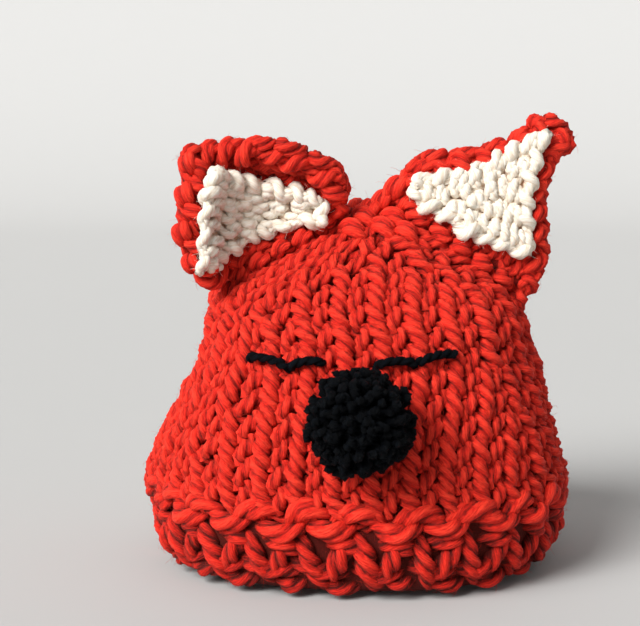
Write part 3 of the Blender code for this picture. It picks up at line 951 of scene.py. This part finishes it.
# %% The nose
NOSE_AT = np.array([-1.8, 73.6])  # x and height of its middle
NOSE_RADIUS = 20.5
NOSE_OUT = 15.0  # how far its middle stands out from the face
# the knot is painted in the deepest shade of the black wool
KNOT = 14.5  # radius of its dark middle
ENDS_FROM = 8.0  # how far from the middle the cut ends start, and how deep their shade goes
INTO_FACE = 0.68  # an end that points further back than this would go into the face
NOSE_BACK = on_panel(*cloth_at(NOSE_AT[:1], NOSE_AT[1:]), SEAT)[0][0, 1]  # y at the face
NOSE_MIDDLE = np.array([NOSE_AT[0], NOSE_BACK - NOSE_OUT, NOSE_AT[1]])
PARTING = np.array([-0.10, -0.97, 0.12])  # direction of the parting in front
POMPOM_PLY = np.tile([0.78, 1.0], 3)


def pompom_strands(count=360, steps=8):
    """Cut yarn ends that leave a knot in all directions, each bent over at its blunt end.

    reach = radius * share * (1 - 0.3 * exp(-(angle to the parting / 0.42)^2)), so the
    ends stand lower round the parting in front, where the tie pulls them in. An end goes
    out as sin(1.9 t) / sin(1.5) and aside as bend * t^2, so its tip turns back a little.
    """
    number = np.arange(count) + 0.5
    polar, turn = np.arccos(1 - 2 * number / count), np.pi * (1 + 5**0.5) * number
    ways = np.column_stack([np.sin(polar) * np.cos(turn), np.cos(polar),
                            np.sin(polar) * np.sin(turn)])
    ways = unit(ways + RNG.normal(0, 0.07, ways.shape))
    strands = []
    for way in ways:
        if way[1] > INTO_FACE:
            continue
        side = unit(np.cross(way, RNG.normal(0, 1, 3)))
        t = np.linspace(0, 1, steps)[:, None] ** 0.8
        low = 0.30 * np.exp(-((np.arccos(np.clip(way @ PARTING, -1, 1)) / 0.42) ** 2))
        reach = NOSE_RADIUS * RNG.uniform(0.84, 1.0) * (1 - low)
        bend = RNG.uniform(1.5, 7.0)
        along = ENDS_FROM + (reach - ENDS_FROM) * np.sin(t * 1.9) / np.sin(1.5)
        path = NOSE_MIDDLE + way * along + side * bend * t**2
        path[:, 1] = np.minimum(path[:, 1], NOSE_BACK + 0.5)
        thick = RNG.uniform(1.8, 2.4) * np.linspace(0.8, 1.05, steps)
        # each end gets a painted shade that deepens towards the knot and round the parting
        strands.append(yarn(path, np.broadcast_to(way, path.shape) + 0.1 * side, thick,
                            POMPOM_PLY, pitch=2.4, blunt=0.9,
                            sunk=np.linspace(ENDS_FROM, 0, steps) + ENDS_FROM * low))
    return strands


def knot(radius, rings=12, sides=16):
    """The middle of the pompom as one fat strand, painted in the darkest shade: a ball, flat where
    it meets the face.
    """
    t = np.linspace(-1, 1, rings)
    path = NOSE_MIDDLE + np.column_stack([radius * t * 0.98, 0 * t, 0 * t])
    thick = radius * np.sqrt(np.maximum(1 - t**2, 0.02))
    outward = np.broadcast_to([0.0, -1.0, 0.0], path.shape)
    return yarn(path, outward, thick, np.ones(sides), pitch=100, blunt=0.01,
                sunk=np.full(rings, 20.0))


nose = yarn_mesh("nose_yarn", [knot(KNOT)] + pompom_strands())

# %% [markdown]
# ## Stray fibres
#
# Wool is never smooth: short hairs leave the yarn and blur every edge. They are real
# geometry, so that they show in outline too, but with few faces each, since there are
# thousands. All of them are worked out at once as whole arrays.

# %% Stray fibres
def fuzz(name, pieces, count, length=3.2, lift=1.1, thick=0.06, steps=3):
    """Fine hairs that leave the yarn, as one mesh of three-sided tubes in whole arrays.

    A hair starts on a ring point p, where the yarn's outward way is n and its own way is t:
    hair = p + length * s * (t + bend) + lift * sin(0.7 pi s) * n, for s from 0 to 1.
    """
    rings = [r for piece in pieces for r, _, _ in STRANDS[piece]]
    start = np.concatenate([r[1:-1].reshape(-1, 3) for r in rings])
    middle = np.concatenate([np.repeat(r.mean(1)[1:-1], r.shape[1], 0) for r in rings])
    ahead = np.concatenate([(r[2:] - r[:-2]).reshape(-1, 3) for r in rings])
    pick = RNG.choice(len(start), count)
    p, n, t = start[pick], unit(start[pick] - middle[pick], 1e-9), unit(ahead[pick], 1e-9)
    t = t * RNG.choice([-1, 1], (count, 1)) + RNG.normal(0, 0.45, (count, 3))
    side = unit(np.cross(n, t), 1e-9)
    s = np.linspace(0, 1, steps)[None, :, None]
    long = RNG.uniform(0.5, 1.0, (count, 1, 1)) * length
    high = RNG.uniform(0.2, 1.0, (count, 1, 1)) * lift
    bend = RNG.normal(0, 0.6, (count, 1, 1)) * s**2
    hair = (p[:, None] - 0.1 * n[:, None] + long * (s * t[:, None] + bend * side[:, None])
            + high * np.sin(0.7 * np.pi * s) * n[:, None])
    width = thick * np.linspace(1.2, 0.5, steps)[None, :, None, None]
    turn = 2 * np.pi * np.arange(3) / 3
    ring = hair[:, :, None] + width * (np.cos(turn)[:, None] * n[:, None, None]
                                       + np.sin(turn)[:, None] * side[:, None, None])
    points = ring.reshape(-1, 3)
    points[:, 2] = np.maximum(points[:, 2], 0.05)  # none goes through the floor
    hair_first = np.arange(count)[:, None] * steps * 3
    i, j = np.meshgrid(np.arange(steps - 1), np.arange(3), indexing="ij")
    j2 = (j + 1) % 3
    quad = np.stack([i * 3 + j, i * 3 + j2, (i + 1) * 3 + j2, (i + 1) * 3 + j], -1)
    quads = (hair_first[..., None] + quad.reshape(1, -1, 4)).reshape(-1, 4)
    ends = np.concatenate([hair_first + [2, 1, 0], hair_first + (steps - 1) * 3 + [0, 1, 2]])
    mesh = bpy.data.meshes.new(name)
    mesh.from_pydata((points * MM + HEM).tolist(), [], quads.tolist() + ends.tolist())
    print(f"{name}: {count} fibres, {2 * len(quads) + len(ends)} triangles")
    return wool_piece(mesh, np.zeros(len(points)))


red_fuzz = [
    fuzz("front_fibres", ["front_stitches", "front_band"], 9000),
    fuzz("back_fibres", ["back_stitches", "back_band"], 5000),
    fuzz("ear_fibres", ["ear_left_yarn", "ear_right_yarn"], 2500),
]
cream_fuzz = fuzz("inner_ear_fibres", ["inner_ear_left_yarn", "inner_ear_right_yarn"], 1200,
                  length=3.0, lift=0.8)
black_fuzz = fuzz("black_fibres", ["nose_yarn", "eye_left_yarn", "eye_right_yarn"], 2500,
                  length=2.5, lift=0.9)

# %% [markdown]
# ## Materials
#
# All three finishes are spun wool: matt, with fine fibres along each strand. A noise that
# is stretched along the strand's own UV map draws them. Single fibres of 0.03 mm wouldn't
# show, so it draws tufts of them, 0.9 mm wide and 3 mm long on the thick yarn. The
# attribute that came with the strands is painted shade: it darkens the colour between the
# plies and in the depths of the knitting, where shade falls.

# %% Materials
TUFTS_ROUND = 26.0  # tufts in one turn round a strand, of 22 mm on the thick yarn
TUFTS_ALONG = 3.0  # tufts in each centimetre along it
BUMP = 0.0015  # how far a tuft stands out, in metres


def linear(code):
    """An sRGB hex colour as linear red, green and blue."""
    value = [int(code[i:i + 2], 16) / 255 for i in (1, 3, 5)]
    return [v / 12.92 if v <= 0.04045 else ((v + 0.055) / 1.055) ** 2.4 for v in value] + [1.0]


def add(tree, kind, inputs=None, **settings):
    """Adds one node. An input takes a value, or (node, output) to link it."""
    node = tree.nodes.new(kind)
    for key, value in settings.items():
        setattr(node, key, value)
    for key, value in (inputs or {}).items():
        if isinstance(value, tuple) and isinstance(value[0], bpy.types.Node):
            tree.links.new(value[0].outputs[value[1]], node.inputs[key])
        else:
            node.inputs[key].default_value = value
    return node


def wool(name, lit, flank, deep, fibre, gloss, sheen, tint):
    """Wool yarn: matt fibres along the strand, with a soft sheen.

    Its colour is painted light and shade: it goes from lit on top of the strands over flank,
    at 0.4 of the painted shade, to deep between the plies and in the depths of the knitting.
    """
    made = bpy.data.materials.new(name)
    made.use_nodes = True
    tree = made.node_tree
    tree.nodes.clear()
    uv = add(tree, "ShaderNodeUVMap", uv_map="strand")
    spread = add(tree, "ShaderNodeMapping", {"Vector": (uv, "UV"),
                                             "Scale": (TUFTS_ROUND, TUFTS_ALONG, 1.0)})
    fibres = add(tree, "ShaderNodeTexNoise", {"Vector": (spread, "Vector"), "Scale": 1.0,
                                              "Detail": 4.0, "Roughness": 0.7, "Distortion": 0.4})
    groove = add(tree, "ShaderNodeAttribute", attribute_name="groove")
    # 1.9 * noise - 0.78, about 0.17 on average, and 0.9 times the painted shade on top of it
    deepness = add(tree, "ShaderNodeMath", {0: (fibres, "Fac"), 1: 1.9, 2: -0.78},
                   operation="MULTIPLY_ADD")
    total = add(tree, "ShaderNodeMath", {0: (groove, "Fac"), 1: 0.9, 2: (deepness, "Value")},
                operation="MULTIPLY_ADD", use_clamp=True)
    colour = add(tree, "ShaderNodeValToRGB", {"Fac": (total, "Value")})
    stops = colour.color_ramp.elements
    stops[0].color, stops.new(0.4).color, stops[-1].color = linear(lit), linear(flank), linear(deep)
    bump = add(tree, "ShaderNodeBump", {"Height": (fibres, "Fac"), "Strength": fibre,
                                        "Distance": BUMP})
    shader = add(tree, "ShaderNodeBsdfPrincipled", {
        "Base Color": (colour, "Color"), "Normal": (bump, "Normal"), "Roughness": 0.7,
        "Sheen Weight": sheen, "Sheen Roughness": 0.5, "Sheen Tint": linear(tint),
        "Specular IOR Level": gloss})
    add(tree, "ShaderNodeOutputMaterial", {"Surface": (shader, "BSDF")})
    print(f"{name}: {len(tree.nodes)} nodes")
    return made


# chunky carded wool, loosely plied and dyed orange-red: rough, with a faint pale bloom
# its lit, flank and deep colours are painted light and shade: oranger on top of the strands, near
# black in the depths
red_wool = wool("plied_red_wool", "#FF3F29", "#DE2113", "#4E0502", 1.0, 0.2, 0.15, "#FF7A62")
# smoother undyed wool: nearly white where it is lit, with a warm beige painted shade in its folds,
# tinted pink for the light thrown back from the red
cream_wool = wool("plied_cream_wool", "#F8F2E6", "#E8D8C2", "#C89B7C", 0.5, 0.3, 0.1, "#FFFFFF")
# tightly plied black wool: it takes nearly all light; the cold gleam on the twist is partly
# painted, as its blue-grey lit colour, and partly its bluish sheen
black_wool = wool("plied_black_wool", "#0B1018", "#040608", "#000001", 1.0, 0.08, 0.05, "#3A4C62")


# %% What each piece wears and stands for
def wear(piece, finish):
    """Gives a piece its material and its slot, and lets it ride on the one body."""
    piece.data.materials.append(finish)
    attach(piece, "root")


for piece in (front_stitches, back_stitches, front_band, back_band, front_cloth, back_cloth,
              seams, gathers, ear_left, ear_right, ear_left_cloth, ear_right_cloth, *red_fuzz):
    wear(piece, red_wool)
for piece in (inner_left, inner_right, inner_left_cloth, inner_right_cloth, cream_fuzz):
    wear(piece, cream_wool)
for piece in (*eyes.values(), nose, black_fuzz):
    wear(piece, black_wool)

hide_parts("front_panel")
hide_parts("back_panel")
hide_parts("ear_left")
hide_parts("ear_right")
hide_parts("inner_ear_left")
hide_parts("inner_ear_right")
for name, piece in eyes.items():
    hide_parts(name)
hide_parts("nose_pompom")
for finish in (red_wool, cream_wool, black_wool):
    print(f"{finish.name} is on {finish.users} pieces")


for cloth, yarn_piece, middle in (
        (ear_left_cloth, ear_left, ear_grid(EAR_LEFT)[0]),
        (ear_right_cloth, ear_right, ear_grid(EAR_RIGHT)[0]),
        (inner_left_cloth, inner_left, inner_left_grid),
        (inner_right_cloth, inner_right, inner_right_grid)):
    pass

# %% [markdown]
# ## Floor, light and camera
#
# The light of a large window from the front left is a sun with a wide disc, which lights
# the whole floor evenly, and a weak one from behind keeps the back readable. The floor is
# a studio sweep, far enough away that no camera angle finds it in front of the object.

# %% Floor, backdrop, lights and camera
def sweep(name, start=1.5, bend=1.0, high=6.0, half=80.0):
    """A studio sweep: a floor that curves up behind the object in a quarter circle, in metres."""
    turn = np.linspace(0, np.pi / 2, 24)
    y = np.concatenate([[-half], start + bend * np.sin(turn), [start + bend]])
    z = np.concatenate([[0.0], bend * (1 - np.cos(turn)), [high]])
    points = [(x, y_, z_) for y_, z_ in zip(y, z) for x in (-half, half)]
    faces = [(2 * i, 2 * i + 1, 2 * i + 3, 2 * i + 2) for i in range(len(y) - 1)]
    mesh = bpy.data.meshes.new(name)
    mesh.from_pydata(points, [], faces)
    mesh.polygons.foreach_set("use_smooth", np.ones(len(faces), bool))
    obj = bpy.data.objects.new(name, mesh)
    bpy.context.collection.objects.link(obj)
    return obj


floor = sweep("floor")
# matt wall paint, rolled on: pale, even, without a highlight
pale = bpy.data.materials.new("matt_paint")
pale.use_nodes = True
paint = pale.node_tree.nodes["Principled BSDF"].inputs
paint["Base Color"].default_value = linear("#B9B8B6")
paint["Roughness"].default_value = 0.9
paint["Specular IOR Level"].default_value = 0.1
floor.data.materials.append(pale)


def sunlight(name, place, strength, spread):
    """Light from far away in the direction of place, softened over spread radians."""
    data = bpy.data.lights.new(name, "SUN")
    data.energy, data.angle = strength, spread
    lamp = bpy.data.objects.new(name, data)
    lamp.rotation_euler = Vector(place).to_track_quat("Z", "Y").to_euler()
    bpy.context.collection.objects.link(lamp)


sunlight("window", (-0.95, -1.0, 0.95), 4.9, 0.6)
sunlight("back", (0.8, 1.0, 0.9), 0.5, 0.7)
world = bpy.data.worlds.new("studio")
world.use_nodes = True
sky = world.node_tree
sky.nodes.clear()
way = add(sky, "ShaderNodeTexCoord")
height = add(sky, "ShaderNodeSeparateXYZ", {"Vector": (way, "Generated")})
# paler near the horizon, as the walls of a room are, and dimmer above
glow = add(sky, "ShaderNodeMapRange", {"Value": (height, "Z"), "From Min": 0.10, "From Max": 0.25,
                                       "To Min": 0.72, "To Max": 0.33})
room = add(sky, "ShaderNodeBackground", {"Color": (0.95, 0.98, 1.0, 1.0),
                                         "Strength": (glow, "Result")})
add(sky, "ShaderNodeOutputWorld", {"Surface": (room, "Background")})
bpy.context.scene.world = world
bpy.context.scene.view_settings.view_transform = "Standard"

# a short telephoto at arm's length, in metres from the hem's middle, looking down a little
CAMERA_PLACE, CAMERA_TILT, FOCAL_LENGTH = (-0.01677, -0.77904, 0.20874), 7.71, 104.65
lens = bpy.data.cameras.new("camera")
lens.lens = FOCAL_LENGTH
lens.sensor_width = 36.0
camera = bpy.data.objects.new("camera", lens)
camera.location = HEM + CAMERA_PLACE
camera.rotation_euler = (math.radians(90 - CAMERA_TILT), 0, 0)
bpy.context.collection.objects.link(camera)
bpy.context.scene.camera = camera
print(f"camera {-CAMERA_PLACE[1]:.2f} m before the hem, {CAMERA_TILT} degrees down")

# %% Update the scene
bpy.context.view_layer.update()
